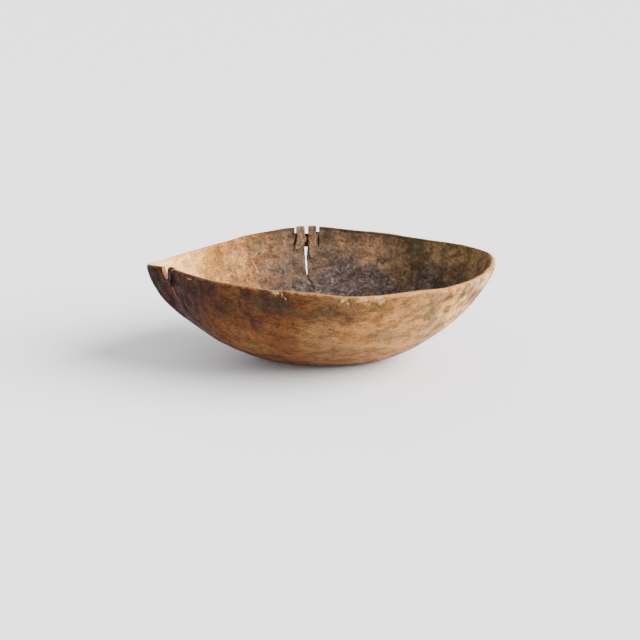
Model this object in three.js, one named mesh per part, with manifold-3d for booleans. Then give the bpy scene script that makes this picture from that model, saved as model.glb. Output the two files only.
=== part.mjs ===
// A bowl carved from one block of wood, with two cracks in its rim that were mended with hide.
// Millimetres, +Z up. +X points to the rounded end of the long axis and -X to the sharp tip.
// The foot rests on z = 0, and the middle of the whole object is on the Z axis.
import * as THREE from "three";
import { mergeVertices } from "three/addons/utils/BufferGeometryUtils.js";
import Module from "manifold-3d";

const wasm = await Module();
wasm.setup();

// Driving dimensions.
const RIM_HEIGHT = 140;
const RIM_WALL = 7;
const FOOT_WALL = 13;
const FOOT = { halfLength: 73, halfWidth: 29.5, x: 4, y: -3.5 };
const BELLY = { halfLength: 243, halfWidth: 155, x: 1, y: -10 };
const AROUND = 96;
const RINGS = 12;

// How the belly swells: 2 and 2 make a quarter ellipse, and lower numbers a flatter flare.
// The wall is fuller at the sharp tip (-X) than at the rounded end (+X).
const SWELL_RIM = { middle: 1.44, towardsEnd: -0.26 };
const SWELL_FOOT = { middle: 1.33, towardsEnd: 0.11 };
// The plan turns from the belly's ellipse into the cornered rim outline: higher is later.
const CORNERS_APPEAR = 3;

// The rim seen from above, counter-clockwise from the rounded end.
const RIM_OUTLINE = [
  [235, -8],
  [231, 28],
  [205, 61],
  [140, 98],
  [75, 130],
  [20, 149],
  [-24, 155],
  [-62, 144],
  [-116, 110],
  [-170, 53],
  [-216, 3],
  [-235, -21],
  [-208, -36],
  [-176, -64],
  [-138, -94],
  [-80, -120],
  [-20, -139],
  [44, -155],
  [95, -147],
  [147, -128],
  [188, -100],
  [222, -53],
];

// The back crack and the two notches beside it, as half outlines [x, z] across the wall.
const BACK_CRACK = {
  left: [
    [-24.4, 150],
    [-25.8, 116],
    [-25.0, 98],
    [-22.8, 83],
  ],
  right: [
    [-20.2, 83],
    [-21.4, 98],
    [-19.8, 116],
    [-18.6, 150],
  ],
  tip: [-20.5, 77],
};
const BACK_NOTCHES = [
  { from: -38.9, to: -36.5, floor: 132 },
  { from: -8.8, to: -4.4, floor: 133 },
];

// The crack near the sharp tip, as [u, z], where u runs along the wall from this point.
const LEFT_PLACE = { x: -208.3, y: -35.5, turn: -36 };
const LEFT_CRACK = {
  left: [
    [-6.0, 150],
    [-5.4, 140],
    [-3.6, 132],
    [-1.0, 124],
    [1.4, 121],
    [7.0, 118],
    [12.0, 115],
    [17.6, 110],
  ],
  tip: [22, 106],
  right: [
    [19.0, 110],
    [14.6, 115],
    [11.2, 118],
    [8.6, 121],
    [6.8, 124],
    [5.4, 132],
    [4.8, 140],
    [4.6, 150],
  ],
};
const LEFT_NOTCH = { from: 12.2, to: 13.8, floor: 134 };

// Hide straps and bands, and the clearance that keeps touching solids apart.
const GAP = 0.4;
const STRAP = 1.4;
const BAND = 1.8;
const BACK_BAND = { from: -43, to: 0.5, low: 113, high: 131 };
const BACK_STRAPS = {
  back_strap_left: { from: -35.9, to: -26.2, inner: 112, outer: 107 },
  back_strap_right: { from: -18.1, to: -9.4, inner: 101, outer: 107 },
};
const LEFT_TIE = { from: -4.5, to: 13, low: 121, high: 125 };
const LEFT_STRAP = { from: 5.2, to: 11.8, inner: 118, outer: 115 };

const WOOD = new THREE.MeshStandardMaterial({ color: "#8a6240", roughness: 0.75, metalness: 0 });
const HIDE = new THREE.MeshStandardMaterial({ color: "#6b4a33", roughness: 0.85, metalness: 0 });

// The rim outline as AROUND points, evenly spaced along a closed smooth curve.
function rimPoints() {
  const corners = RIM_OUTLINE.map(([x, y]) => new THREE.Vector3(x, y, 0));
  const curve = new THREE.CatmullRomCurve3(corners, true, "centripetal");
  curve.arcLengthDivisions = 1000;
  return curve.getSpacedPoints(AROUND).slice(0, AROUND);
}

function onEllipse({ halfLength, halfWidth, x, y }, angle) {
  return new THREE.Vector3(x + halfLength * Math.cos(angle), y + halfWidth * Math.sin(angle), 0);
}

// The outer face: one ring of points for each step from the foot to the rim.
function outerRings() {
  const rim = rimPoints();
  const rings = [];
  for (let k = 0; k <= RINGS; k++) {
    const step = (k / RINGS) * (Math.PI / 2);
    rings.push(
      rim.map((point) => {
        const angle = Math.atan2(point.y, point.x);
        const rimPower = SWELL_RIM.middle + SWELL_RIM.towardsEnd * Math.cos(angle);
        const footPower = SWELL_FOOT.middle + SWELL_FOOT.towardsEnd * Math.cos(angle);
        const spread = Math.sin(step) ** (2 / footPower);
        const rise = k === RINGS ? 1 : 1 - Math.cos(step) ** (2 / rimPower);
        const edge = onEllipse(BELLY, angle).lerp(point, spread ** CORNERS_APPEAR);
        return onEllipse(FOOT, angle).lerp(edge, spread).setZ(rise * RIM_HEIGHT);
      }),
    );
  }
  return rings;
}

// The outward normal at each point of the outer rings.
function ringNormals(rings) {
  return rings.map((ring, k) =>
    ring.map((_, i) => {
      const along = ring[(i + 1) % AROUND].clone().sub(ring[(i + AROUND - 1) % AROUND]);
      const above = rings[Math.min(k + 1, RINGS)][i];
      const below = rings[Math.max(k - 1, 0)][i];
      return along.cross(above.clone().sub(below)).normalize();
    }),
  );
}

const OUTER = outerRings();
const NORMALS = ringNormals(OUTER);

// The whole wall as a closed solid, grown by some amount outside, inside and over the rim.
function wallSolid({ out = 0, into = 0, up = 0 }) {
  const outside = OUTER.map((ring, k) =>
    ring.map((point, i) => point.clone().addScaledVector(NORMALS[k][i], out)),
  );
  const inside = OUTER.map((ring, k) =>
    ring.map((point, i) => {
      const wall = RIM_WALL + (FOOT_WALL - RIM_WALL) * (1 - point.z / RIM_HEIGHT);
      return point.clone().addScaledVector(NORMALS[k][i], -wall - into);
    }),
  );
  outside[0].forEach((point) => point.setZ(-out));
  inside[0].forEach((point) => point.setZ(FOOT_WALL + into));
  outside[RINGS].forEach((point) => point.setZ(RIM_HEIGHT + up));
  inside[RINGS].forEach((point) => point.setZ(RIM_HEIGHT + up));
  const rings = [...outside, ...inside.reverse()];
  const places = rings.flat().flatMap((point) => [point.x, point.y, point.z]);
  const faces = [];
  for (let k = 0; k + 1 < rings.length; k++) {
    for (let i = 0; i < AROUND; i++) {
      const next = (i + 1) % AROUND;
      const [a, b] = [k * AROUND + i, k * AROUND + next];
      const [c, d] = [a + AROUND, b + AROUND];
      faces.push(a, b, d, a, d, c);
    }
  }
  const sole = places.length / 3;
  places.push(FOOT.x, FOOT.y, -out, FOOT.x, FOOT.y, FOOT_WALL + into);
  const floorRing = (rings.length - 1) * AROUND;
  for (let i = 0; i < AROUND; i++) {
    const next = (i + 1) % AROUND;
    faces.push(next, i, sole);
    faces.push(floorRing + i, floorRing + next, sole + 1);
  }
  return solidFrom(new Float32Array(places), new Uint32Array(faces));
}

function solidFrom(vertProperties, triVerts) {
  return new wasm.Manifold(new wasm.Mesh({ numProp: 3, vertProperties, triVerts }));
}

// A three.js geometry as a solid, with its shared corners merged.
function solidOf(geometry) {
  geometry.deleteAttribute("normal");
  geometry.deleteAttribute("uv");
  const merged = mergeVertices(geometry, 1e-4);
  return solidFrom(merged.attributes.position.array, new Uint32Array(merged.index.array));
}

function meshOf(name, solid, material) {
  const { vertProperties, triVerts } = solid.getMesh();
  const geometry = new THREE.BufferGeometry();
  geometry.setAttribute("position", new THREE.BufferAttribute(vertProperties, 3));
  geometry.setIndex(new THREE.BufferAttribute(triVerts, 1));
  geometry.computeVertexNormals();
  const mesh = new THREE.Mesh(geometry, material);
  mesh.name = name;
  return mesh;
}

// Two places on the rim: u is measured along the wall, and the depth runs through it.
// The back place keeps the bowl's own x, so that its cuts go straight back along Y.
const BACK = new THREE.Matrix4().makeTranslation(0, 150, 0);
const LEFT = new THREE.Matrix4()
  .makeRotationZ(THREE.MathUtils.degToRad(LEFT_PLACE.turn))
  .setPosition(LEFT_PLACE.x, LEFT_PLACE.y, 0);
const REACH = 45;

// A block through the wall at a place, between two u values and two heights.
function block(place, from, to, low, high) {
  const geometry = new THREE.BoxGeometry(to - from, 2 * REACH, high - low);
  geometry.translate((from + to) / 2, 0, (low + high) / 2);
  return solidOf(geometry.applyMatrix4(place));
}

// A cut with the outline of a crack, straight through the wall at a place.
function crackCut(place, crack) {
  const outline = [...crack.left, crack.tip, ...crack.right];
  const shape = new THREE.Shape(outline.map(([u, z]) => new THREE.Vector2(u, z)));
  const geometry = new THREE.ExtrudeGeometry(shape, { depth: 2 * REACH, bevelEnabled: false });
  geometry.rotateX(Math.PI / 2).translate(0, REACH, 0);
  return solidOf(geometry.applyMatrix4(place));
}

const TOP = RIM_HEIGHT + 10;

// Layers of hide, between two distances from the wood: outside, inside, and all round the rim.
function outerLayer(near, far) {
  return wallSolid({ out: far }).subtract(wallSolid({ out: near }));
}

function innerLayer(near, far) {
  return wallSolid({ into: far }).subtract(wallSolid({ into: near }));
}

function rimLayer(near, far) {
  const over = wallSolid({ out: far, into: far, up: far });
  return over.subtract(wallSolid({ out: near, into: near, up: near }));
}

// A band on the outside of the wall.
function hideBand(place, band) {
  const reach = block(place, band.from, band.to, band.low, band.high);
  return outerLayer(GAP, GAP + BAND).intersect(reach);
}

// A strap over the rim. Its outer leg crosses the band, and is thicker above and below it.
function hideStrap(place, { from, to, inner, outer }, band) {
  const shoulder = band.high + GAP;
  const overRim = rimLayer(GAP, GAP + STRAP).intersect(block(place, from, to, RIM_HEIGHT - 4, TOP));
  const innerLeg = innerLayer(GAP, GAP + STRAP).intersect(block(place, from, to, inner, RIM_HEIGHT));
  const neck = outerLayer(GAP, GAP + STRAP).intersect(block(place, from, to, shoulder, RIM_HEIGHT));
  const legBlock = block(place, from, to, outer, shoulder + STRAP);
  const leg = outerLayer(GAP, 2 * GAP + BAND + STRAP).intersect(legBlock);
  const tunnelBlock = block(place, from - 1, to + 1, band.low - GAP, shoulder);
  const tunnel = wallSolid({ out: 2 * GAP + BAND }).intersect(tunnelBlock);
  return overRim.add(innerLeg).add(neck).add(leg.subtract(tunnel));
}

function carvedBowl() {
  let bowl = wallSolid({});
  bowl = bowl.subtract(crackCut(BACK, BACK_CRACK));
  bowl = bowl.subtract(crackCut(LEFT, LEFT_CRACK));
  for (const notch of BACK_NOTCHES) {
    bowl = bowl.subtract(block(BACK, notch.from, notch.to, notch.floor, TOP));
  }
  return bowl.subtract(block(LEFT, LEFT_NOTCH.from, LEFT_NOTCH.to, LEFT_NOTCH.floor, TOP));
}

const group = new THREE.Group();
group.add(meshOf("carved_bowl", carvedBowl(), WOOD));
group.add(meshOf("back_band", hideBand(BACK, BACK_BAND), HIDE));
for (const [name, strap] of Object.entries(BACK_STRAPS)) {
  group.add(meshOf(name, hideStrap(BACK, strap, BACK_BAND), HIDE));
}
group.add(meshOf("left_tie", hideBand(LEFT, LEFT_TIE), HIDE));
group.add(meshOf("left_strap", hideStrap(LEFT, LEFT_STRAP, LEFT_TIE), HIDE));

// The whole object is centred on the Z axis, with its foot on z = 0.
const middle = new THREE.Box3().setFromObject(group, true).getCenter(new THREE.Vector3());
group.position.set(-middle.x, -middle.y, 0);

export default group;
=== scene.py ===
# %% [markdown]
# # A carved wooden bowl, mended with hide
#
# The bowl was hollowed out of one block of wood with an adze, so it has one thick wall and no
# joins. Its rim cracked twice, at the back and near the pointed tip, and both cracks were
# mended with strips of hide. This lesson loads the measured model of the bowl, and then
# models each piece again with the fine shape and the finishes of the real thing.

# %% Load the measured bowl
import math
import bmesh
import bpy
import numpy as np
from mathutils import Matrix, Vector, noise
from mathutils.bvhtree import BVHTree


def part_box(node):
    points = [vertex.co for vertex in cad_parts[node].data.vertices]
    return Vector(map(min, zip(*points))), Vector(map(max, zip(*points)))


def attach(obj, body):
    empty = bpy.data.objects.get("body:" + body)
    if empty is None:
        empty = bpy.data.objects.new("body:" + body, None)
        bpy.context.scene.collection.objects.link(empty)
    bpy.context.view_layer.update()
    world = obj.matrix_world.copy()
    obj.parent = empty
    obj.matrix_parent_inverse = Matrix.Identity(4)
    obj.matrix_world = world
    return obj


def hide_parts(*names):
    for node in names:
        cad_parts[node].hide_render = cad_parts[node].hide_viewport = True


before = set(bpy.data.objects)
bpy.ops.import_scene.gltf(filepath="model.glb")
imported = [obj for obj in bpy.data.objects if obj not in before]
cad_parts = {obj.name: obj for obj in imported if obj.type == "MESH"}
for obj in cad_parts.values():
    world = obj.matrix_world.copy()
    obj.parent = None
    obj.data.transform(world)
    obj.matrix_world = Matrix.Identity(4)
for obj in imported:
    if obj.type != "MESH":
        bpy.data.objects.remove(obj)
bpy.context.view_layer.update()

MM = 0.001

# %% [markdown]
# ## Camera, floor and light
#
# The bowl is seen from a little above its rim, with a long lens, so its two ends keep their
# true proportions. A lamp above and behind the right end lights the inside of the left wall
# and leaves the outside of the left end in shade. A pale room gives the rest.

# %% Set up the camera
CAMERA_PLACE = Vector((-3.1, -1827.2, 733.6)) * MM
CAMERA_PITCH = math.radians(20.43)
LENS = 80


def deselect_all():
    if bpy.context.object and bpy.context.object.mode != "OBJECT":
        bpy.ops.object.mode_set(mode="OBJECT")
    bpy.ops.object.select_all(action="DESELECT")


deselect_all()
bpy.ops.object.camera_add(location=CAMERA_PLACE, rotation=(math.pi / 2 - CAMERA_PITCH, 0, 0))
camera = bpy.context.object
camera.data.lens = LENS
camera.data.sensor_width = 36
bpy.context.scene.camera = camera
print("camera to bowl, metres:", round(CAMERA_PLACE.length, 3))

# %% [markdown]
# sRGB hex values are how colours are usually written down. Blender's shaders work with
# linear light, so one function turns the hex values round. Another adds a node to a material
# with its settings and its links, which keeps each material below short and readable.


# %% Two helpers for every material
def hex_colour(text):
    channels = [int(text[i : i + 2], 16) / 255 for i in (1, 3, 5)]
    linear = [c / 12.92 if c <= 0.04045 else ((c + 0.055) / 1.055) ** 2.4 for c in channels]
    return (*linear, 1.0)


def add_node(tree, kind, links=None, **settings):
    """Adds a node. settings are its own fields, and links set or feed its sockets by name."""
    node = tree.nodes.new(kind)
    for field, value in settings.items():
        setattr(node, field, value)
    for socket, value in (links or {}).items():
        if isinstance(value, bpy.types.NodeSocket):
            tree.links.new(value, node.inputs[socket])
        else:
            node.inputs[socket].default_value = value
    return node


def new_material(name, **constants):
    """An empty material with one Principled shader, and the constants set on its sockets."""
    material = bpy.data.materials.new(name)
    material.use_nodes = True
    material.node_tree.nodes.clear()
    shader = add_node(material.node_tree, "ShaderNodeBsdfPrincipled", constants)
    output = add_node(material.node_tree, "ShaderNodeOutputMaterial")
    material.node_tree.links.new(shader.outputs["BSDF"], output.inputs["Surface"])
    return material, material.node_tree, shader


# %% [markdown]
# The bowl stands on a wide, plain, pale floor. Dull paint gives no reflections, so the only
# things to see on it are the bowl and its soft shadow.

# %% Lay the floor
FLOOR_SIZE = 12
bpy.ops.mesh.primitive_plane_add(size=FLOOR_SIZE, location=(0, 0, 0))
floor = bpy.context.object
floor.name = "floor"
floor_paint, _, _ = new_material(
    "pale_floor_paint", **{"Base Color": hex_colour("#F4F3F6"), "Roughness": 0.6}
)
floor.data.materials.append(floor_paint)


# %% [markdown]
# One broad lamp from the right and above makes the shadow fall to the left, and the softness,
# an angle in degrees, blurs its edge. The pale room fills the dark side.

# %% Hang the lamps
def add_lamp(name, kind, place, power, softness, target=(0, 0, 0.06)):
    bpy.ops.object.light_add(type=kind, location=place)
    lamp = bpy.context.object
    lamp.name = name
    lamp.data.energy = power
    if kind == "SUN":
        lamp.data.angle = math.radians(softness)
    else:
        lamp.data.size = softness
    aim = Vector(target) - Vector(place)
    lamp.rotation_euler = aim.to_track_quat("-Z", "Y").to_euler()
    return lamp


add_lamp("window_light", "SUN", (2.6, -0.35, 1.7), power=11.5, softness=45)

world = bpy.data.worlds.new("pale_room")
bpy.context.scene.world = world
world.use_nodes = True
world.node_tree.nodes["Background"].inputs["Color"].default_value = hex_colour("#FFFFFF")
world.node_tree.nodes["Background"].inputs["Strength"].default_value = 1.1

# %% [markdown]
# ## Finishes
#
# Patterns on old wood have real sizes: fibres are fractions of a millimetre wide and run the
# length of the block, handling leaves blotches a few centimetres across, and spilt food and
# damp leave ragged stains. These helpers make each of them from noise in object coordinates,
# with its size given in millimetres, so nothing has to be unwrapped.


# %% Helpers for patterns at their real size
def at_object(tree, stretch=(1, 1, 1)):
    """Object coordinates. A stretch of 8 makes a pattern eight times as long on that axis."""
    place = add_node(tree, "ShaderNodeTexCoord").outputs["Object"]
    scale = tuple(1 / s for s in stretch)
    return add_node(tree, "ShaderNodeMapping", {"Vector": place, "Scale": scale}).outputs[0]


def mottle(tree, size, low=0.35, high=0.65, stretch=(1, 1, 1), detail=3, vector=None):
    """Noise whose patches are about this many mm across, spread out between 0 and 1."""
    links = {"Vector": vector or at_object(tree, stretch), "Scale": 1 / (size * MM)}
    pattern = add_node(tree, "ShaderNodeTexNoise", {**links, "Detail": detail, "Roughness": 0.6})
    return remap(tree, pattern.outputs["Fac"], low, high)


def remap(tree, value, low, high, start=0.0, end=1.0, kind="SMOOTHSTEP"):
    links = {"Value": value, "From Min": low, "From Max": high, "To Min": start, "To Max": end}
    node = add_node(tree, "ShaderNodeMapRange", links, interpolation_type=kind)
    return node.outputs["Result"]


def combine(tree, operation, first, second):
    node = add_node(tree, "ShaderNodeMath", {0: first, 1: second}, operation=operation)
    return node.outputs["Value"]


def ramp(tree, value, stops):
    """A colour ramp from (position, hex colour) stops."""
    node = add_node(tree, "ShaderNodeValToRGB", {"Fac": value})
    elements = node.color_ramp.elements
    while len(elements) < len(stops):
        elements.new(0.5)
    for element, (position, colour) in zip(elements, stops):
        element.position = position
        element.color = hex_colour(colour)
    return node.outputs["Color"]


def mix(tree, share, base, over, blend="MIX"):
    """Lays a colour, given as hex or as a socket, over a base colour."""
    over = hex_colour(over) if isinstance(over, str) else over
    node = add_node(
        tree, "ShaderNodeMix", {0: share, 6: base, 7: over}, data_type="RGBA", blend_type=blend
    )
    return node.outputs[2]


def shade(tree, colour, pattern, darkest, lightest):
    """Multiplies a colour by a pattern, so that dark wood stays dark and pale wood pale."""
    factor = remap(tree, pattern, 0, 1, darkest, lightest, kind="LINEAR")
    return mix(tree, 1.0, colour, factor, "MULTIPLY")


def ragged_place(tree, wave=12, stray=24):
    """Object coordinates pushed about by noise, so a round stain gets a ragged edge."""
    place = at_object(tree)
    pattern = add_node(tree, "ShaderNodeTexNoise", {"Vector": place, "Scale": 1 / (wave * MM)})
    centred = add_node(
        tree, "ShaderNodeVectorMath", {0: pattern.outputs["Color"], 1: (0.5, 0.5, 0.5)},
        operation="SUBTRACT",
    )
    pushed = add_node(
        tree, "ShaderNodeVectorMath", {0: centred.outputs[0], 1: (stray * MM,) * 3, 2: place},
        operation="MULTIPLY_ADD",
    )
    return pushed.outputs[0]


def stains(tree, place, spots):
    """How strongly any of the stains covers a point: spots are ((x, y, z), reach) in mm."""
    covered = 0.0
    for centre, reach in spots:
        centre = tuple(c * MM for c in centre)
        away = add_node(tree, "ShaderNodeVectorMath", {0: place, 1: centre}, operation="DISTANCE")
        one = remap(tree, away.outputs["Value"], 0.35 * reach * MM, 1.5 * reach * MM, 1.0, 0.0)
        covered = combine(tree, "MAXIMUM", covered, one)
    broken = remap(tree, mottle(tree, 5, detail=4), 0, 1, 0.45, 1.0)
    return combine(tree, "MULTIPLY", covered, broken)


def relief(tree, shader, height, depth):
    """Fine relief that is too small to model: depth is its real depth in mm."""
    bump = add_node(tree, "ShaderNodeBump", {"Height": height, "Distance": depth * MM})
    tree.links.new(bump.outputs["Normal"], shader.inputs["Normal"])


# %% [markdown]
# The outside has been held and greased for years. It is close to black-brown at the tip,
# where it was picked up, and bleaches to tan at the other end; the same tones also paint shade
# on the left end and light on the right end, which faces the lamp. The rim is rubbed back to
# pale wood and carries a painted highlight along the front, the underside keeps a warm
# orange-brown, pale spots are partly worn wood and partly painted highlights on the right end,
# and a green-grey bloom sits in a few places.

# %% Outside of the bowl: handled, greased wood, with painted light and shade
# Tones from the tip to the blunt end: the wood's own dark patina at the tip, with painted shade on
# the left end and painted light on the right end.
OUTSIDE_TONES_AND_LIGHT = [
    (0.00, "#35211a"), (0.12, "#38180e"), (0.22, "#381a0d"), (0.33, "#58310f"), (0.44, "#6c4a25"),
    (0.56, "#6b4a29"), (0.68, "#90612f"), (0.80, "#a2703c"), (0.90, "#85653e"), (1.00, "#f7b45c"),
]
OUTSIDE_GREEN = [
    ((-56, -128, 119), 12), ((-80, -120, 120), 9), ((-30, -134, 112), 8), ((70, -151, 128), 10),
    ((177, -90, 106), 9), ((189, -88, 128), 11),
]
# Pale spots: partly worn wood at dents, and partly painted highlights, most of them on the lit
# right end.
OUTSIDE_PALE_AND_HIGHLIGHTS = [
    ((-62, -127, 136), 3.5), ((-54, -129, 133), 3), ((-46, -132, 130), 3), ((24, -153, 136), 4),
    ((31, -153, 131), 3), ((50, -154, 139), 5), ((72, -150, 139), 6), ((212, -62, 132), 14),
    ((196, -82, 134), 9), ((224, -40, 122), 12),
    ((160, -97, 92), 7), ((105, -120, 60), 16), ((190, -62, 90), 9),
]
OUTSIDE_DARK = [
    ((-98, -113, 124), 17), ((-72, -122, 125), 13), ((-40, -133, 122), 12), ((-125, -99, 104), 15),
    ((-106, -103, 80), 9), ((10, -144, 120), 14), ((30, -146, 104), 10),
    ((40, -104, 50), 7), ((172, -104, 112), 8), ((141, -70, 55), 6),
]


def outside_wood():
    material, tree, shader = new_material("handled_wood_outside_painted_light", **{"Specular IOR Level": 0.12})
    x, y, z = add_node(tree, "ShaderNodeSeparateXYZ", {"Vector": at_object(tree)}).outputs
    drift = mottle(tree, 55, stretch=(1.6, 1, 1))
    place = combine(tree, "ADD", x, remap(tree, drift, 0, 1, -0.045, 0.045))
    colour = ramp(tree, remap(tree, place, -0.235, 0.235, kind="LINEAR"), OUTSIDE_TONES_AND_LIGHT)

    greasy = remap(tree, z, 0.075, 0.115)
    colour = shade(tree, colour, greasy, 1.12, 0.86)
    low_down = remap(tree, z, 0.06, 0.004)
    colour = mix(tree, combine(tree, "MULTIPLY", low_down, 0.55), colour, "#5f3519")
    ragged = ragged_place(tree)
    fibres = mottle(tree, 1.3, 0.38, 0.62, stretch=(16, 1, 1), detail=3)
    grit = mottle(tree, 1.8, 0.38, 0.62, stretch=(1.5, 1, 1), detail=3)
    blotches = mottle(tree, 14, 0.40, 0.64, stretch=(1.5, 1, 1), detail=4)
    specks = mottle(tree, 3.2, 0.54, 0.68, stretch=(1.6, 1, 1), detail=4)
    colour = shade(tree, colour, fibres, 0.84, 1.16)
    colour = shade(tree, colour, grit, 0.78, 1.22)
    end_streaks = mottle(tree, 3.6, 0.38, 0.62, stretch=(9, 1, 9), detail=3)
    at_ends = remap(tree, combine(tree, "MULTIPLY", x, x), 0.018, 0.034)
    colour = mix(tree, at_ends, colour, shade(tree, colour, end_streaks, 0.42, 1.5))
    colour = shade(tree, colour, blotches, 1.25, 0.62)
    colour = shade(tree, colour, specks, 1.08, 0.48)
    dark = combine(tree, "MULTIPLY", stains(tree, ragged, OUTSIDE_DARK), 0.65)
    colour = mix(tree, dark, colour, "#1f140c")
    pale = combine(tree, "MULTIPLY", stains(tree, ragged, OUTSIDE_PALE_AND_HIGHLIGHTS), 0.75)
    colour = mix(tree, pale, colour, "#efc184")
    green = combine(tree, "MULTIPLY", stains(tree, ragged, OUTSIDE_GREEN), 0.6)
    colour = mix(tree, green, colour, "#2a3021")

    # The pale line along the rim is partly wear and partly a painted highlight, strongest at the
    # front and towards the lit right end.
    chipped = combine(tree, "ADD", z, remap(tree, mottle(tree, 5), 0, 1, -0.0012, 0.0012))
    rim_wear_and_highlight = remap(tree, chipped, 0.1375, 0.1405)
    at_front = remap(tree, y, 0.06, 0.0)
    rim_wear_and_highlight = combine(tree, "MULTIPLY", rim_wear_and_highlight, at_front)
    rim_wear_and_highlight = combine(tree, "MULTIPLY", rim_wear_and_highlight, remap(tree, x, -0.16, 0.06, 0.12, 0.6))
    colour = mix(tree, rim_wear_and_highlight, colour, "#c48f58")
    tree.links.new(colour, shader.inputs["Base Color"])
    tree.links.new(remap(tree, blotches, 0, 1, 0.44, 0.62), shader.inputs["Roughness"])
    relief(tree, shader, combine(tree, "SUBTRACT", grit, specks), 0.45)
    return material


# %% [markdown]
# Inside, the walls are paler wood, and the same tones also paint light on the left wall, which
# faces the lamp, and shade on the right wall. The floor is grey-brown from food and scouring,
# with pale flecks where the adze dints were rubbed. Dark patches lie towards the blunt end,
# there is green bloom under the back rim, and a painted highlight runs along the top of the
# front rim.

# %% Inside of the bowl: scoured, stained wood, with painted light and shade
# Tones from the tip to the blunt end: paler wood, with painted light on the lit left wall and
# painted shade on the right wall.
INSIDE_TONES_AND_LIGHT = [
    (0.00, "#f6dba0"), (0.08, "#eebb70"), (0.17, "#a27139"), (0.28, "#94633a"), (0.36, "#684d34"),
    (0.46, "#5e4b3b"), (0.58, "#715a46"), (0.66, "#927154"), (0.76, "#735d41"), (1.00, "#7a5d3d"),
]
INSIDE_GREEN = [
    ((39, 136, 136), 9), ((132, 92, 130), 18), ((122, 96, 112), 9), ((-95, 114, 125), 15),
]
INSIDE_DARK = [
    ((131, 76, 97), 26), ((165, 50, 92), 20), ((188, 42, 105), 14), ((-44, 143, 128), 7),
    ((8, 139, 125), 8), ((100, 70, 60), 25),
]
INSIDE_PALE = [
    ((62, 115, 108), 17), ((-120, 92, 110), 20), ((-84, 112, 118), 10), ((30, 130, 120), 14),
]


def inside_wood():
    material, tree, shader = new_material("scoured_wood_inside_painted_light", **{"Specular IOR Level": 0.1})
    x, y, z = add_node(tree, "ShaderNodeSeparateXYZ", {"Vector": at_object(tree)}).outputs
    ragged = ragged_place(tree)
    strayed = add_node(tree, "ShaderNodeSeparateXYZ", {"Vector": ragged}).outputs["X"]
    colour = ramp(tree, remap(tree, strayed, -0.235, 0.235, kind="LINEAR"), INSIDE_TONES_AND_LIGHT)
    pale = combine(tree, "MULTIPLY", stains(tree, ragged, INSIDE_PALE), 0.45)
    colour = mix(tree, pale, colour, "#b58a5c")

    floor_place = add_node(
        tree, "ShaderNodeMapping",
        {"Vector": ragged, "Location": (-0.032, -0.018, -0.02), "Scale": (1, 1, 1)},
    )
    squeezed = add_node(
        tree, "ShaderNodeVectorMath",
        {0: floor_place.outputs[0], 1: (1 / 0.205, 1 / 0.136, 1 / 0.102)}, operation="MULTIPLY",
    )
    reach = add_node(tree, "ShaderNodeVectorMath", {0: squeezed.outputs[0]}, operation="LENGTH")
    worn_edge = remap(tree, mottle(tree, 34, detail=3), 0, 1, -0.16, 0.16)
    floor_edge = combine(tree, "ADD", reach.outputs["Value"], worn_edge)
    on_floor = remap(tree, floor_edge, 0.74, 1.16, 1.0, 0.0)
    flecks = mottle(tree, 4.2, 0.44, 0.64, stretch=(1.3, 1, 1), detail=5)
    floor_colour = ramp(tree, flecks, [(0.0, "#4a3d39"), (0.5, "#5b4d48"), (1.0, "#6f625c")])
    colour = mix(tree, on_floor, colour, floor_colour)

    fibres = mottle(tree, 1.6, stretch=(12, 1, 1), detail=3)
    blotches = mottle(tree, 12, 0.40, 0.62, stretch=(1.4, 1, 1), detail=4)
    specks = mottle(tree, 4, 0.52, 0.66, detail=4)
    grit = mottle(tree, 2.0, 0.38, 0.62, detail=3)
    rough = remap(tree, x, -0.22, -0.08, 0.45, 1.0)
    colour = shade(tree, colour, grit, 0.74, 1.26)
    colour = shade(tree, colour, fibres, 0.9, 1.1)
    colour = shade(tree, colour, combine(tree, "MULTIPLY", blotches, rough), 1.15, 0.58)
    colour = shade(tree, colour, combine(tree, "MULTIPLY", specks, rough), 1.06, 0.58)
    dark = combine(tree, "MULTIPLY", stains(tree, ragged, INSIDE_DARK), 0.62)
    colour = mix(tree, dark, colour, "#271c15")
    green = combine(tree, "MULTIPLY", stains(tree, ragged, INSIDE_GREEN), 0.72)
    colour = mix(tree, green, colour, "#323d2b")
    # Painted highlight: the top of the front rim is made paler.
    on_rim_edge = remap(tree, z, 0.1365, 0.1400)
    at_front = remap(tree, y, 0.06, 0.0, 0.0, 0.5)
    colour = mix(tree, combine(tree, "MULTIPLY", on_rim_edge, at_front), colour, "#b98f62")
    at_back = combine(
        tree, "MULTIPLY", remap(tree, y, 0.06, 0.10), remap(tree, x, -0.17, -0.05, 0.1, 0.75)
    )
    colour = mix(tree, combine(tree, "MULTIPLY", on_rim_edge, at_back), colour, "#3a2a1c")
    tree.links.new(colour, shader.inputs["Base Color"])
    tree.links.new(remap(tree, flecks, 0, 1, 0.52, 0.68), shader.inputs["Roughness"])
    relief(tree, shader, combine(tree, "SUBTRACT", flecks, specks), 0.5)
    return material


# %% [markdown]
# Where the wood has split, its raw fibres show, in a lit and a shaded copy that paint the light
# and shade on the crack faces, and dirt packs into the hairlines; the same dark finish paints
# shade in two grooves beside the back straps. Scratches cut through the grease to pale wood.
# The hide is old rawhide: dark, a little glossy where it is rubbed, and covered in fine
# wrinkles, and a darker copy of it paints the shade on the mends at the tip.


# %% Split wood in painted light and shade, packed dirt and painted shade, fresh scratches and old hide
def mottled(name, low_tone, high_tone, size, stretch, roughness, depth):
    """A plain two-tone finish with its own relief."""
    material, tree, shader = new_material(
        name, **{"Roughness": roughness, "Specular IOR Level": 0.15}
    )
    pattern = mottle(tree, size, stretch=stretch, detail=4)
    colour = ramp(tree, pattern, [(0.0, low_tone), (1.0, high_tone)])
    tree.links.new(colour, shader.inputs["Base Color"])
    relief(tree, shader, pattern, depth)
    return material


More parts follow.
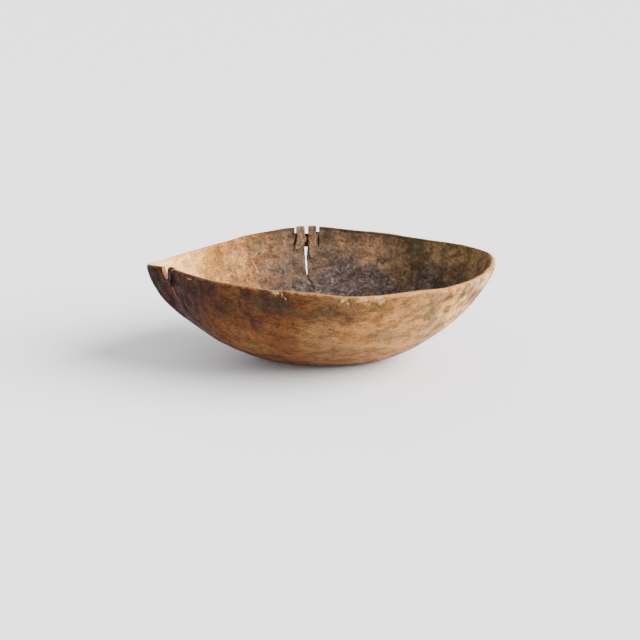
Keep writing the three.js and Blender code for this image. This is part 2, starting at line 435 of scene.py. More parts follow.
outside_finish = outside_wood()
inside_finish = inside_wood()
# Split wood in a lit copy and a shaded copy: painted light on the tip's crack, which faces the
# lamp, and painted shade in the back crack and its notches.
lit_split_wood = mottled("split_wood_in_painted_light", "#7a4f33", "#a87450", 1.5, (10, 1, 1), 0.75, 0.2)
shaded_split_wood = mottled("split_wood_in_painted_shade", "#2a1d15", "#4b3626", 1.5, (10, 1, 1), 0.8, 0.2)
# Dark dirt in the checks, also used as painted shade in the grooves beside the back straps.
dirt_and_painted_shade = mottled("dirt_and_shade_in_checks", "#1c110b", "#38241a", 2, (1, 1, 1), 0.9, 0.1)
fresh_scratch = mottled("scratched_wood", "#a57c54", "#c99e72", 3, (1, 1, 1), 0.7, 0.1)
worn_hide = mottled("worn_rawhide", "#4a3727", "#7d5f44", 2.6, (1, 1, 1.8), 0.55, 0.25)
# A darker hide that paints the shade on the mends at the tip.
hide_in_painted_shade = mottled("rawhide_in_painted_shade", "#1b1410", "#33261a", 2.0, (1, 1, 1.6), 0.45, 0.2)
print("finishes:", [m.name for m in bpy.data.materials])

# %% [markdown]
# ## The bowl's wall
#
# Seen from above the rim has a sharp tip, a blunt end and two soft corners, and further down
# the plan turns into an ellipse, as the adze rounds off everything below the rim. A turned
# shape can't do that, so the wall is built ring by ring: a circle is added for the foot, and
# each extruded ring is moved to its place on the belly. The same rings then go over the
# rounded rim and down the inside. The outline's points are the bowl's own, in millimetres.

# %% The bowl's driving dimensions
RIM_HEIGHT = 140
RIM_WALL = 7
FOOT_WALL = 13
FOOT = {"half": (73, 29.5), "middle": (4, -3.5)}
BELLY = {"half": (243, 155), "middle": (1, -10)}
SWELL_RIM = (1.44, -0.26)
SWELL_FOOT = (1.33, 0.11)
CORNERS_APPEAR = 3
RIM_OUTLINE = [
    (235, -8), (231, 28), (205, 61), (140, 98), (75, 130), (20, 149), (-24, 155), (-62, 144),
    (-116, 110), (-170, 53), (-216, 3), (-235, -21), (-208, -36), (-176, -64), (-138, -94),
    (-80, -120), (-20, -139), (44, -155), (95, -147), (147, -128), (188, -100), (222, -53),
]
AROUND = 480
OUTER_RINGS = 60
CAP_RINGS = 8


# %% [markdown]
# One function gives the rim's outline as evenly spaced points on a smooth closed curve, and
# another the outer face: for each step from foot to rim it blends the foot's ellipse, the
# belly's ellipse and the rim's outline. The inner face is the outer one moved in along its
# normal by the wall's thickness, which grows from the rim down to the foot.


# %% The rim's outline as a smooth closed curve
def smooth_outline(corners, count):
    """Centripetal Catmull-Rom curve through the corners, as evenly spaced points."""
    corners = np.array(corners, float)
    samples = []
    for i in range(len(corners)):
        p0, p1, p2, p3 = (corners[(i + k) % len(corners)] for k in (-1, 0, 1, 2))
        t0 = 0
        t1 = t0 + np.linalg.norm(p1 - p0) ** 0.5
        t2 = t1 + np.linalg.norm(p2 - p1) ** 0.5
        t3 = t2 + np.linalg.norm(p3 - p2) ** 0.5
        for t in np.linspace(t1, t2, 60, endpoint=False):
            a1 = ((t1 - t) * p0 + (t - t0) * p1) / (t1 - t0)
            a2 = ((t2 - t) * p1 + (t - t1) * p2) / (t2 - t1)
            a3 = ((t3 - t) * p2 + (t - t2) * p3) / (t3 - t2)
            b1 = ((t2 - t) * a1 + (t - t0) * a2) / (t2 - t0)
            b2 = ((t3 - t) * a2 + (t - t1) * a3) / (t3 - t1)
            samples.append(((t2 - t) * b1 + (t - t1) * b2) / (t2 - t1))
    samples = np.array(samples + samples[:1])
    steps = np.linalg.norm(np.diff(samples, axis=0), axis=1)
    run = np.concatenate([[0], np.cumsum(steps)])
    even = np.linspace(0, run[-1], count, endpoint=False)
    return np.stack([np.interp(even, run, samples[:, axis]) for axis in (0, 1)], axis=1)


rim = smooth_outline(RIM_OUTLINE, AROUND)
angle = np.arctan2(rim[:, 1], rim[:, 0])
print("rim length, mm:", round(float(np.linalg.norm(np.diff(rim, axis=0), axis=1).sum())))


# %% [markdown]
# The outer face is built as rings from the foot to the rim. The inner face follows it at the
# wall's thickness.

# %% The outer and inner faces as rings of points
RIM_ROUNDING = 3.0


def on_ellipse(ellipse):
    half, middle = ellipse["half"], ellipse["middle"]
    spokes = np.stack([np.cos(angle), np.sin(angle)], axis=1)
    return spokes * half + np.array(middle, float)


def outer_rings():
    rim_power = SWELL_RIM[0] + SWELL_RIM[1] * np.cos(angle)
    foot_power = SWELL_FOOT[0] + SWELL_FOOT[1] * np.cos(angle)
    last_step = np.arccos((RIM_ROUNDING / RIM_HEIGHT) ** (rim_power / 2))
    rings = []
    for share in np.linspace(0, 1, OUTER_RINGS + 1):
        step = share * last_step
        spread = (np.sin(step) ** (2 / foot_power))[:, None]
        rise = 1 - np.cos(step) ** (2 / rim_power)
        corners = spread**CORNERS_APPEAR
        edge = on_ellipse(BELLY) * (1 - corners) + rim * corners
        plan = on_ellipse(FOOT) * (1 - spread) + edge * spread
        rings.append(np.column_stack([plan, rise * RIM_HEIGHT]))
    return np.array(rings)


def ring_normals(rings):
    along = np.roll(rings, -1, axis=1) - np.roll(rings, 1, axis=1)
    upwards = np.gradient(rings, axis=0)
    normals = np.cross(along, upwards)
    return normals / np.linalg.norm(normals, axis=2, keepdims=True)


outside = outer_rings()
normals = ring_normals(outside)
thickness = RIM_WALL + (FOOT_WALL - RIM_WALL) * (1 - outside[:, :, 2:] / RIM_HEIGHT)
inside = outside - normals * thickness
inside[0, :, 2] = FOOT_WALL
print("inside floor is", FOOT_WALL, "mm up; the rings hold", outside.size // 3, "points")


# %% [markdown]
# The rim is a rounded lip that joins the two faces, and the foot and the inside floor are
# closed with rings that shrink towards their middles.

# %% The rounded rim and the two flat caps
RIM_STEPS = 9


def rim_rings():
    rings = []
    for turn in np.linspace(0, math.pi, RIM_STEPS + 2)[1:-1]:
        across = (1 - math.cos(turn)) / 2
        ring = outside[-1] * (1 - across) + inside[-1] * across
        ring[:, 2] += RIM_ROUNDING * math.sin(turn) ** 0.7
        rings.append(ring)
    return rings


def cap_rings(edge_ring, dip):
    """Rings that close a flat ellipse towards its middle, dipping a little on the way."""
    middle = edge_ring.mean(axis=0)
    rings = []
    for share in np.linspace(1, 0, CAP_RINGS + 1)[1:-1]:
        ring = middle + (edge_ring - middle) * share
        ring[:, 2] = edge_ring[:, 2] + dip * (1 - share**2)
        rings.append(ring)
    return rings


section = cap_rings(outside[0], 0)[::-1] + list(outside) + rim_rings()
section += list(inside[::-1]) + cap_rings(inside[0], -1.0)
print("rings from the sole to the inside floor:", len(section))

# %% [markdown]
# A circle is added and each ring is extruded from the one before. The number of each column
# is kept on its points, and an extruded point keeps its column, so it is clear where each
# new point goes. The two open ends are filled and the normals are turned outwards.


# %% Extrude a shape ring by ring
def extrude_rings(name, rings):
    deselect_all()
    bpy.ops.mesh.primitive_circle_add(vertices=len(rings[0]), radius=0.05, fill_type="NOTHING")
    piece = bpy.context.object
    piece.name = name
    bpy.ops.object.mode_set(mode="EDIT")
    mesh = bmesh.from_edit_mesh(piece.data)
    column = mesh.verts.layers.int.new("column")
    for vertex in mesh.verts:
        vertex[column] = vertex.index
        vertex.co = Vector(rings[0][vertex.index]) * MM
    for ring in rings[1:]:
        bpy.ops.mesh.extrude_region_move()
        mesh = bmesh.from_edit_mesh(piece.data)
        column = mesh.verts.layers.int["column"]
        for vertex in mesh.verts:
            if vertex.select:
                vertex.co = Vector(ring[vertex[column]]) * MM
    bpy.ops.mesh.select_all(action="DESELECT")
    bpy.ops.mesh.select_non_manifold()
    bpy.ops.mesh.edge_face_add()
    bpy.ops.mesh.select_all(action="SELECT")
    bpy.ops.mesh.normals_make_consistent(inside=False)
    bpy.ops.object.mode_set(mode="OBJECT")
    return piece


bowl = extrude_rings("bowl_wood", section)
bowl.data.materials.append(outside_finish)
bowl.data.materials.append(inside_finish)
rim_middle = CAP_RINGS - 1 + len(outside) + RIM_STEPS // 2
for face in bowl.data.polygons:
    face.material_index = int(min(face.vertices) // AROUND >= rim_middle)
print("bowl faces:", len(bowl.data.polygons))

# %% [markdown]
# ## The carver's hand
#
# A carved wall is never quite even. Slow swells remain from the shaping, the inside keeps the
# dints of the adze, and the rim is worn in dips where hands and other bowls touched it. The
# swells and dints are displacement modifiers driven by noise at those real sizes, and the
# worn places on the rim are moved in code. The sole is flattened again at the end, because
# the bowl still has to stand on it.


# %% Give the wall its swells and tool marks
def add_group(piece, name, weights):
    group = piece.vertex_groups.new(name=name)
    for index, weight in enumerate(weights):
        if weight > 0:
            group.add([index], float(weight), "REPLACE")
    return name


def displace(piece, name, wave, height, group=""):
    """Moves a surface in and out by half the height, in soft waves of a real width."""
    texture = bpy.data.textures.new(name, "CLOUDS")
    texture.noise_scale = wave * MM
    texture.noise_depth = 2
    deselect_all()
    piece.select_set(True)
    bpy.context.view_layer.objects.active = piece
    bpy.ops.object.modifier_add(type="DISPLACE")
    modifier = piece.modifiers[-1]
    modifier.texture = texture
    modifier.texture_coords = "LOCAL"
    modifier.strength = height * MM
    modifier.mid_level = 0.5
    modifier.vertex_group = group
    bpy.ops.object.modifier_apply(modifier=modifier.name)


def read_points(piece):
    flat = np.empty(len(piece.data.vertices) * 3)
    piece.data.vertices.foreach_get("co", flat)
    return flat.reshape(-1, 3) / MM


def write_points(piece, points):
    piece.data.vertices.foreach_set("co", (points * MM).ravel())
    piece.data.update()


ring_of_point = np.repeat(np.arange(len(section)), AROUND)
first_inside = len(section) - CAP_RINGS - len(inside)
above_foot = np.clip(read_points(bowl)[:, 2] / 12, 0, 1)
is_inside = (ring_of_point >= first_inside).astype(float)
inside_group = add_group(bowl, "inside", is_inside)
outside_group = add_group(bowl, "outside", (1 - is_inside) * above_foot)

displace(bowl, "slow_swells", wave=60, height=2.2, group=outside_group)
displace(bowl, "slow_swells_inside", wave=45, height=2.0, group=inside_group)
displace(bowl, "adze_dints", wave=11, height=1.7, group=inside_group)
displace(bowl, "outside_marks", wave=16, height=0.5, group=outside_group)

# %% [markdown]
# Years of use have worn the rim low in some places and left it high in others. Points near
# the rim sink or rise in smooth bumps, and the sole is kept flat on the floor.

# %% Wear the rim down in places
# Each dip: where along the rim it is (x, y), how far it reaches along it, and how deep it is.
RIM_DIPS = [
    ((-53, 147), 14, -1.0),
    ((8, 152), 15, -0.9),
    ((-66, -124), 20, 1.2),
    ((22, -150), 16, 1.0),
    ((158, -122), 14, 1.4),
    ((118, -138), 22, -0.9),
    ((-130, 100), 40, 0.9),
    ((90, 122), 45, -0.7),
    ((232, 10), 30, -0.6),
]


def wear_rim(piece):
    points = read_points(piece)
    near_rim = np.clip((points[:, 2] - RIM_HEIGHT + 30) / 30, 0, 1) ** 2
    for place, reach, depth in RIM_DIPS:
        away = np.linalg.norm(points[:, :2] - place, axis=1) / reach
        points[:, 2] -= depth * near_rim * np.exp(-(away**2))
    sole = ring_of_point <= CAP_RINGS - 1
    points[sole, 2] = 0
    points[:, 2] = np.maximum(points[:, 2], 0)
    write_points(piece, points)


wear_rim(bowl)
print("rim height now, mm:", round(float(read_points(bowl)[:, 2].max()), 2))

# %% [markdown]
# The end grain moves more than the long grain, so lines have risen and sunk down both ends of
# the bowl, and knocks have dented the rim. Each is a line of rough points: what lies near it
# moves out or in along the wall's own normal.

# %% Raise ridges and sink dents along known lines
# Points along the line (x, y, z), how far it reaches to each side, and how high it stands.
RIDGES = [
    ([(166, -116, 137), (166, -105, 117), (162, -93, 98), (158, -74, 75), (146, -60, 52)], 3, 1.8),
    ([(159, -117, 132), (159, -104, 110), (152, -93, 90), (142, -76, 66), (131, -62, 46)], 6, -1.1),
    ([(218, -60, 137), (209, -57, 120), (197, -47, 96), (179, -41, 71), (161, -38, 52)], 3.5, 0.9),
    ([(226, -42, 135), (216, -36, 113), (203, -34, 95)], 3.5, 0.8),
    ([(197, -86, 132), (190, -74, 108), (178, -62, 84)], 5, -0.8),
    ([(-204, -37, 119), (-197, -42, 107), (-190, -45, 97), (-182, -48, 86)], 3, 1.0),
    ([(-62, -127, 138), (-56, -128, 133)], 4, -1.5),
    ([(-46, -132, 138), (-50, -130, 131)], 3.5, -1.2),
    ([(24, -153, 138), (32, -151, 130)], 4.5, -1.3),
    ([(42, -154, 138), (39, -152, 131)], 3.5, -0.9),
    ([(120, -138, 137), (132, -133, 136)], 5, -1.0),
]


def away_from_line(points, line):
    """Each point's distance to a line of rough points, in mm."""
    nearest = np.full(len(points), np.inf)
    corners = np.array(line, float)
    for start, end in zip(corners[:-1], corners[1:]):
        share = np.clip((points - start) @ (end - start) / ((end - start) @ (end - start)), 0, 1)
        foot = start + share[:, None] * (end - start)
        nearest = np.minimum(nearest, np.linalg.norm(points - foot, axis=1))
    return nearest


def raise_ridges(piece):
    points = read_points(piece)
    normals = np.array([vertex.normal for vertex in piece.data.vertices])
    move = np.zeros(len(points))
    for line, reach, height in RIDGES:
        move += height * np.exp(-((away_from_line(points, line) / reach) ** 2))
    points += normals * (move * (1 - is_inside))[:, None]
    write_points(piece, points)


raise_ridges(bowl)
print("ridges and dents:", len(RIDGES))

# %% [markdown]
# ## The two cracks
#
# A crack in an old bowl is widest at the rim and closes to a hairline further down, and its
# edges wander with the fibres. Each one is cut with a thin block: a strip of faces gets the
# crack's left and right edge row by row, is extruded through the wall, and is subtracted.
# The hairlines below are cut the same way, by narrow strips that only just enter the wood.


# %% A cutter made of rows, and the cut itself
def strip_block(name, rows, through, finish):
    """A closed block: rows of (left, right) points, extruded by a vector, all in mm."""
    deselect_all()
    bpy.ops.mesh.primitive_grid_add(x_subdivisions=1, y_subdivisions=len(rows) - 1, size=1)
    block = bpy.context.object
    block.name = name
    ends = np.array(rows, float)
    order = np.array([(v.co.y, v.co.x) for v in block.data.vertices])
    for vertex, (row_place, side) in zip(block.data.vertices, order):
        row = round((row_place + 0.5) * (len(rows) - 1))
        vertex.co = Vector(ends[row][0 if side < 0 else 1]) * MM
    bpy.ops.object.mode_set(mode="EDIT")
    bpy.ops.mesh.select_all(action="SELECT")
    move = tuple(Vector(through) * MM)
    bpy.ops.mesh.extrude_region_move(TRANSFORM_OT_translate={"value": move})
    bpy.ops.mesh.select_all(action="SELECT")
    bpy.ops.mesh.normals_make_consistent(inside=False)
    bpy.ops.object.mode_set(mode="OBJECT")
    block.data.materials.append(finish)
    return block


def cut(piece, cutter):
    deselect_all()
    piece.select_set(True)
    bpy.context.view_layer.objects.active = piece
    bpy.ops.object.modifier_add(type="BOOLEAN")
    modifier = piece.modifiers[-1]
    modifier.operation = "DIFFERENCE"
    modifier.solver = "EXACT"
    modifier.material_mode = "TRANSFER"
    modifier.object = cutter
    bpy.ops.object.modifier_apply(modifier=modifier.name)
    bpy.data.objects.remove(cutter)


def wander(height, seed, size=0.5, wave=5.0):
    """How far a torn edge strays at a height, in mm: always the same for the same seed."""
    return size * noise.noise(Vector((height / wave, seed, 0.5)))


# %% [markdown]
# Both mends are laid out along the wall, so a place is given by how far it is along the rim,
# how deep into the bowl and how high. A ray sent through the uncut wall finds its surface.

# %% Places on the rim, and the uncut wall that pieces lie on
# u runs along the wall, and "inwards" through it, for the back crack and the left crack.
BACK = {"origin": Vector((0, 150)), "along": Vector((1, 0)), "inwards": Vector((0, -1))}
LEFT_TURN = math.radians(-36)
LEFT = {
    "origin": Vector((-208.3, -35.5)),
    "along": Vector((math.cos(LEFT_TURN), math.sin(LEFT_TURN))),
    "inwards": Vector((-math.sin(LEFT_TURN), math.cos(LEFT_TURN))),
}
REACH = 45
uncut_wall = BVHTree.FromObject(bowl, bpy.context.evaluated_depsgraph_get())


def across(place, u, depth, height):
    """A point in mm from its place along the wall, its depth into the bowl, and its height."""
    plan = place["origin"] + place["along"] * u + place["inwards"] * depth
    return Vector((plan.x, plan.y, height))


def on_wall(place, u, height, side):
    """The point and outward normal on the outside (-1) or inside (+1) face, in mm."""
    start = across(place, u, side * 2 * REACH, height)
    aim = across(place, u, 0, height) - start
    hit, normal, _, _ = uncut_wall.ray_cast(start * MM, aim.normalized())
    return hit / MM, normal


def on_rim(place, u, share):
    """The top of the rim, from the outer edge (share 0) to the inner edge (share 1), in mm."""
    outer, _ = on_wall(place, u, RIM_HEIGHT - RIM_ROUNDING - 1, -1)
    inner, _ = on_wall(place, u, RIM_HEIGHT - RIM_ROUNDING - 1, 1)
    spot = outer.lerp(inner, share)
    above = Vector((spot.x, spot.y, RIM_HEIGHT + 20))
    hit, normal, _, _ = uncut_wall.ray_cast(above * MM, Vector((0, 0, -1)))
    return hit / MM, normal


print("rim top at the back crack, mm:", [round(c, 1) for c in on_rim(BACK, -21, 0.5)[0]])

# %% [markdown]
# The cracks go right through the wall and narrow downwards, with torn edges. The notches beside
# them are shallow, and both show split wood inside, painted lit at the tip and painted in shade
# at the back.

# %% Cut the open cracks and the notches
# Heights, and how far left and right of the origin the crack opens there.
BACK_CRACK = [
    (150, -25.4, -18.8), (128, -26.2, -19.8), (116, -26.6, -20.8), (107, -26.2, -22.0),
    (98, -25.8, -22.6), (90, -24.9, -21.9), (83, -23.5, -21.2), (78, -21.9, -21.3),
]
LEFT_CRACK = [
    (150, -6.0, 4.6), (140, -5.4, 4.8), (132, -3.6, 5.4), (124, -1.0, 6.8), (121, 1.4, 8.6),
    (118, 7.0, 11.2), (115, 12.0, 14.6), (110, 17.6, 19.0), (106, 21.6, 22.2),
]
BACK_NOTCHES = [(-39.8, -37.4, 132), (-8.4, -4.6, 133)]
LEFT_NOTCH = (12.2, 13.8, 134)
ROW_STEP = 1.5


def cut_crack(place, crack, seed, finish, skew=0.0):
    """Cuts right through the wall; a skewed crack moves along it as it goes inwards."""
    heights, lefts, rights = (np.array(column, float) for column in zip(*crack[::-1]))
    rows = []
    for height in np.arange(heights[0], heights[-1], ROW_STEP):
        opening = np.interp(height, heights, rights) - np.interp(height, heights, lefts)
        stray = min(1, opening / 3)
        left = np.interp(height, heights, lefts) + stray * wander(height, seed)
        right = np.interp(height, heights, rights) + stray * wander(height, seed + 7)
        face, _ = on_wall(place, (left + right) / 2, min(height, RIM_HEIGHT - 5), -1)
        shift = skew * (REACH + (face.xy - place["origin"]).dot(place["inwards"]))
        rows.append([across(place, u - shift, -REACH, height) for u in (left, right)])
    through = across(place, 2 * skew * REACH, REACH, 0) - across(place, 0, -REACH, 0)
    cut(bowl, strip_block("crack_cutter", rows, through, finish))


def cut_notch(place, left, right, floor_height, seed, finish):
    rows = []
    for height in np.arange(floor_height, RIM_HEIGHT + 6, ROW_STEP):
        rows.append(
            [
                across(place, left + wander(height, seed, 0.25, 3), -REACH, height),
                across(place, right + wander(height, seed + 3, 0.25, 3), -REACH, height),
            ]
        )
    through = across(place, 0, REACH, 0) - across(place, 0, -REACH, 0)
    cut(bowl, strip_block("notch_cutter", rows, through, finish))


cut_crack(BACK, BACK_CRACK, seed=1, finish=shaded_split_wood, skew=0.12)
cut_crack(LEFT, LEFT_CRACK, seed=20, finish=lit_split_wood)
for seed, notch in enumerate(BACK_NOTCHES):
    cut_notch(BACK, *notch, seed=40 + 10 * seed, finish=shaded_split_wood)
cut_notch(LEFT, *LEFT_NOTCH, seed=60, finish=lit_split_wood)
print("bowl faces after the cuts:", len(bowl.data.polygons))

# %% [markdown]
# ## Checks and scratches
#
# Below each open crack the split goes on as a hairline, and more fine checks run down the two
# ends, always along the grain. Scratches are cut by use: short, shallow, and pale inside. Both
# are V-shaped grooves that swell and close again along their length. Each cutter is extruded
# from a triangle that follows the wall, and leaves its own finish on the faces it cuts.

# %% Lay a V-shaped cutter along a line
GROOVE_STEP = 1.6


def groove_cutter(line, width, depth, finish, seed):
    corners = np.array(line, float)
    run = np.concatenate([[0], np.cumsum(np.linalg.norm(np.diff(corners, axis=0), axis=1))])
    travel = np.linspace(0, run[-1], max(5, round(run[-1] / GROOVE_STEP)))
    spots = []
    for t in travel:
        rough = Vector([np.interp(t, run, corners[:, axis]) for axis in range(3)])
        hit, normal, _, _ = uncut_wall.find_nearest(rough * MM)
        spots.append((hit / MM, normal))
    rings = []
    for i, (spot, normal) in enumerate(spots):
        ahead = spots[min(i + 1, len(spots) - 1)][0] - spots[max(i - 1, 0)][0]
        sideways = normal.cross(ahead).normalized()
        swell = math.sin(math.pi * (i + 0.6) / len(spots)) ** 0.6
        half = width / 2 * (0.1 + 0.9 * swell) * (1 + wander(travel[i], seed + 9, 0.5, 4))
        middle = spot + sideways * wander(travel[i], seed, 0.7, 9)
        lips = [middle + normal * 0.4 + sideways * side * half * 1.3 for side in (-1, 1)]
        rings.append([*lips, middle - normal * depth * (0.15 + 0.85 * swell)])
    cutter = extrude_rings("groove_cutter", rings)
    cutter.data.materials.append(finish)
    return cutter


def cut_grooves(grooves):
    """Cuts grooves that don't meet each other: (line, width, depth, finish) in mm."""
    cutters = [groove_cutter(*groove, seed=50 + 3 * i) for i, groove in enumerate(grooves)]
    deselect_all()
    for cutter in cutters:
        cutter.select_set(True)
    bpy.context.view_layer.objects.active = cutters[0]
    bpy.ops.object.join()
    cut(bowl, bpy.context.object)


# %% [markdown]
# The checks hold packed dirt and look dark, and the last two, beside the back straps, use the
# same dark finish as painted shade along the straps' edges. The scratches show fresh, pale
# wood. Each is given by rough points along it, its width, its depth and its finish.

# %% Cut the checks and the scratches
CHECKS = [
    ([(-191, -47, 107), (-184, -51, 96), (-178, -53, 87), (-165, -50, 65)], 1.8, 1.4, dirt_and_painted_shade),
    ([(-195, -40, 101), (-187, -43, 89), (-178, -47, 77), (-170, -45, 66)], 1.2, 0.9, dirt_and_painted_shade),
    ([(-208, -33, 115), (-205, -33, 108), (-197, -35, 94), (-182, -36, 73)], 1.2, 0.8, dirt_and_painted_shade),
    ([(162, -104, 113), (156, -93, 97), (150, -77, 77), (139, -65, 59)], 0.8, 0.4, dirt_and_painted_shade),
    ([(213, -60, 128), (202, -54, 106), (185, -45, 78), (165, -40, 55)], 1.1, 0.7, dirt_and_painted_shade),
    ([(222, -39, 126), (212, -34, 108), (198, -31, 88)], 1.0, 0.6, dirt_and_painted_shade),
    ([(-22, 111, 81), (-20.5, 108, 78), (-18, 105, 75), (-14, 101, 71)], 1.8, 1.4, dirt_and_painted_shade),
    # These two dark grooves stand for the shade along the back straps' edges: painted shade.
    ([(-38, 145, 131), (-39, 142, 124), (-41, 139, 117), (-43, 137, 111)], 2.6, 1.2, dirt_and_painted_shade),
    ([(-6, 145, 131), (-5, 142, 124), (-5, 139, 115)], 2.8, 1.2, dirt_and_painted_shade),
]
SCRATCHES = [
    ([(-102, 105, 109), (-95, 102, 98), (-89, 97, 86)], 1.7, 0.5, fresh_scratch),
    ([(-138, 70, 94), (-129, 78, 94)], 1.6, 0.4, fresh_scratch),
    ([(-91, 113, 115), (-97, 109, 111)], 1.5, 0.4, fresh_scratch),
    ([(-45, -127, 94), (-24, -129, 89), (-3, -127, 79)], 0.9, 0.25, fresh_scratch),
    ([(-66, -87, 40), (-39, -89, 36), (-13, -96, 40)], 0.8, 0.2, fresh_scratch),
    ([(51, -149, 119), (71, -145, 117), (90, -139, 114)], 0.8, 0.2, fresh_scratch),
    ([(-14, -132, 99), (6, -133, 96), (18, -134, 92)], 0.8, 0.2, fresh_scratch),
    ([(-178, -62, 137), (-175, -64, 134), (-170, -68, 136)], 1.5, 0.5, fresh_scratch),
    ([(166, -113, 133), (167, -103, 116), (163, -92, 98), (157, -76, 76)], 1.8, 0.3, fresh_scratch),
    ([(219, -53, 124), (207, -49, 105), (192, -40, 82)], 1.2, 0.25, fresh_scratch),
    ([(-201, -39, 118), (-196, -42, 108), (-190, -44.5, 97)], 2.2, 0.6, lit_split_wood),
]
cut_grooves(CHECKS)
cut_grooves(SCRATCHES)
print("bowl faces with its checks and scratches:", len(bowl.data.polygons))

# %% [markdown]
# ## The hide straps and bands
#
# The mender bridged each crack with a strip of wet rawhide on the outside and held it with
# straps bent over the rim. Rawhide shrinks as it dries, so it lies tight on the wood, its
# edges curl a little, and it keeps the shape of whatever is below it. Each piece is a grid
# that is laid on the uncut wall point by point, given its thickness with Solidify, softened
# with Bevel and rounded with Subdivision Surface.

# %% Lay a strip of hide on the wall
HIDE_GAP = 0.4
STRAP_THICK = 1.4
BAND_THICK = 1.8
ACROSS_STRIP = 6


def hide_strip(name, rows, thick, finish):
    """A strip from rows of (point, normal) pairs in mm, each row one grid line across."""
    deselect_all()
    bpy.ops.mesh.primitive_grid_add(
        x_subdivisions=len(rows[0]) - 1, y_subdivisions=len(rows) - 1, size=1
    )
    strip = bpy.context.object
    strip.name = name
    for vertex in strip.data.vertices:
        row = round((vertex.co.y + 0.5) * (len(rows) - 1))
        column = round((vertex.co.x + 0.5) * (len(rows[0]) - 1))
        vertex.co = rows[row][column] * MM
    bpy.ops.object.modifier_add(type="SOLIDIFY")
    strip.modifiers[-1].thickness = thick * MM
    strip.modifiers[-1].offset = 0
    bpy.ops.object.modifier_apply(modifier=strip.modifiers[-1].name)
    bpy.ops.object.modifier_add(type="BEVEL")
    bevel = strip.modifiers[-1]
    bevel.width = 0.35 * MM
    bevel.segments = 1
    bevel.limit_method = "ANGLE"
    bevel.angle_limit = math.radians(50)
    bpy.ops.object.modifier_apply(modifier=bevel.name)
    bpy.ops.object.modifier_add(type="SUBSURF")
    strip.modifiers[-1].levels = 1
    strip.modifiers[-1].render_levels = 1
    bpy.ops.object.modifier_apply(modifier=strip.modifiers[-1].name)
    bpy.ops.object.mode_set(mode="EDIT")
    bpy.ops.mesh.select_all(action="SELECT")
    bpy.ops.mesh.normals_make_consistent(inside=False)
    bpy.ops.object.mode_set(mode="OBJECT")
    bpy.ops.object.shade_smooth()
    strip.data.materials.append(finish)
    print(name, "faces:", len(strip.data.polygons))
    return strip


def lifted(spot, lift):
    point, normal = spot
    return point + normal * lift


def band(name, place, edges, finish, seed):
    """A band outside the wall: edges gives (u, low, high), and the ends are torn a little."""
    us, lows, highs = (np.array(column, float) for column in zip(*edges))
    rows = []
    for u in np.linspace(us[0], us[-1], 40):
        low = np.interp(u, us, lows) + wander(u, seed, 0.5, 6)
        high = np.interp(u, us, highs) + wander(u, seed + 5, 0.5, 6)
        lift = HIDE_GAP + BAND_THICK / 2
        heights = np.linspace(low, high, 2 * ACROSS_STRIP)
        rows.append([lifted(on_wall(place, u, height, -1), lift) for height in heights])
    return hide_strip(name, rows, BAND_THICK * 0.9, finish)


def strap(name, place, edges_out, edges_in, hump, finish, seed):
    """A strap over the rim. edges_out and edges_in give (height, left, right) on each face,
    from the rim downwards, and hump is the height range where the outer leg is lifted."""
    low_hump, high_hump = hump
    rows = []

    def face_rows(edges, side):
        heights, lefts, rights = (np.array(column, float) for column in zip(*edges[::-1]))
        found = []
        for height in np.arange(heights[0], heights[-1], 1.3):
            left = np.interp(height, heights, lefts) + wander(height, seed, 0.4, 5)
            right = np.interp(height, heights, rights) + wander(height, seed + 4, 0.4, 5)
            over = np.clip((min(height - low_hump, high_hump - height) + 2) / 2.5, 0, 1)
            raised = over * (BAND_THICK + HIDE_GAP) if side < 0 else 0
            lift = HIDE_GAP + STRAP_THICK / 2 + raised
            us = np.linspace(left, right, ACROSS_STRIP)
            found.append([lifted(on_wall(place, u, height, side), lift) for u in us])
        return found

    top_left, top_right = edges_out[0][1:]
    rows += face_rows(edges_out, -1)
    for share in (0.04, 0.2, 0.35, 0.5, 0.65, 0.8, 0.96):
        us = np.linspace(top_left, top_right, ACROSS_STRIP)
        lift = HIDE_GAP + STRAP_THICK / 2
        rows.append([lifted(on_rim(place, u, share), lift) for u in us])
    rows += face_rows(edges_in, 1)[::-1]
    return hide_strip(name, rows, STRAP_THICK * 0.9, finish)


# %% [markdown]
# The band at the back is a broad strip outside the wall, right across the crack. Two straps
# lie over it, one on each side of the opening, and turn down inside the bowl. The left one
# has spread at its end, where the wet hide was pulled sideways, and the right one hangs
# straight and tapers.

# %% Make the band and the two straps at the back
TOP_OF_LEG = RIM_HEIGHT - RIM_ROUNDING - 1
back_band = band(
    "mended_back_band", BACK,
    [(-43, 115, 129), (-41, 113.6, 130.6), (-20, 113.2, 131), (-2, 113.6, 130.4), (0.5, 115, 129)],
    finish=worn_hide, seed=3,
)
back_strap_left = strap(
    "mended_back_strap_left", BACK,
    [(TOP_OF_LEG, -37.6, -25.9), (120, -36.6, -26.3), (107.5, -34.6, -27.8)],
    [
        (TOP_OF_LEG, -37.6, -25.9), (131, -36.8, -25.6), (128, -36.4, -23.4), (125, -36.8, -22.6),
        (122, -37.4, -23.8), (119, -38.2, -26.7), (115, -39.8, -29.8), (112.5, -40.4, -35.0),
    ],
    hump=(113, 131), finish=worn_hide, seed=11,
)
back_strap_right = strap(
    "mended_back_strap_right", BACK,
    [(TOP_OF_LEG, -20.5, -8.5), (120, -19.6, -8.8), (107.5, -16.8, -11.0)],
    [(TOP_OF_LEG, -20.5, -8.5), (120, -20.0, -8.8), (108, -18.9, -9.6), (101.5, -16.6, -11.6)],
    hump=(113, 131), finish=worn_hide, seed=23,
)

# %% [markdown]
# Near the sharp tip the break is small, so a thin tie outside and one narrow strap over the
# rim were enough. Their hide is a darker copy that paints the shade at the tip.

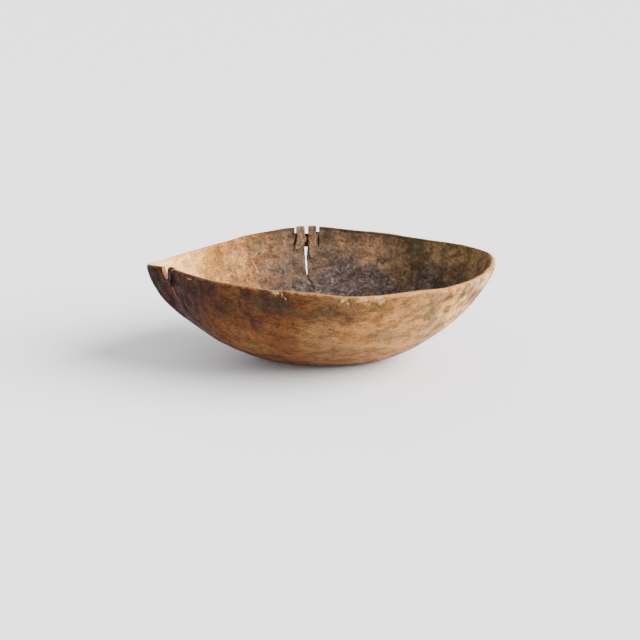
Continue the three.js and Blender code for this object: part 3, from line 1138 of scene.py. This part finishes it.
# %% Make the tie and the strap at the tip
left_tie = band(
    "mended_left_tie", LEFT,
    [(-4.4, 122.6, 124.4), (-3, 122, 125), (3, 121.2, 124.6), (11, 121, 124.2), (12.9, 121.6, 124)],
    finish=hide_in_painted_shade, seed=31,
)
left_strap = strap(
    "mended_left_strap", LEFT,
    [(TOP_OF_LEG, 5.4, 11.6), (125, 5.4, 11.4), (115.5, 6.6, 10.4)],
    [(TOP_OF_LEG, 5.4, 11.6), (128, 5.6, 11.2), (118.5, 6.8, 10.0)],
    hump=(120.5, 125.5), finish=hide_in_painted_shade, seed=37,
)

# %% [markdown]
# ## Shading
#
# Adzed wood rolls gently, but the lips of its cracks and notches are crisp. Faces that meet at
# less than fifty degrees are therefore shaded as one surface, and sharper edges stay sharp.

# %% Shade the bowl smooth, except along its sharp edges
deselect_all()
bowl.select_set(True)
bpy.context.view_layer.objects.active = bowl
bpy.ops.object.shade_smooth_by_angle(angle=math.radians(50))
print("faces in the finished bowl:", len(bowl.data.polygons))

# %% [markdown]
# ## Put the pieces in the frame
#
# Everything was modelled around the middle of the bowl's own outline. The mechanical model
# is centred on its own box, so each mesh is moved by the middle of that box.

# %% Move every mesh into the frame
PIECES = {
    "carved_bowl": (bowl, "carved_wood"), "back_band": (back_band, "old_hide"),
    "back_strap_left": (back_strap_left, "old_hide"), "left_tie": (left_tie, "old_hide"),
    "back_strap_right": (back_strap_right, "old_hide"), "left_strap": (left_strap, "old_hide"),
}
low, high = (Vector(corner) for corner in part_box("carved_bowl"))
frame_shift = (low + high) / 2
frame_shift.z = 0
for piece, _slot in PIECES.values():
    piece.data.transform(Matrix.Translation(frame_shift))
print("shift into the frame, mm:", [round(c / MM, 2) for c in frame_shift])

# %% [markdown]
# Nothing on the bowl moves on its own. Each mesh rides the one body and takes the place of its
# node in the mechanical model; the slot its finish belongs to is printed beside it.

# %% Tie every mesh to its node
for node, (piece, slot) in PIECES.items():
    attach(piece, "root")
    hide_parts(node)
    print(node, "->", piece.name, "in", slot)
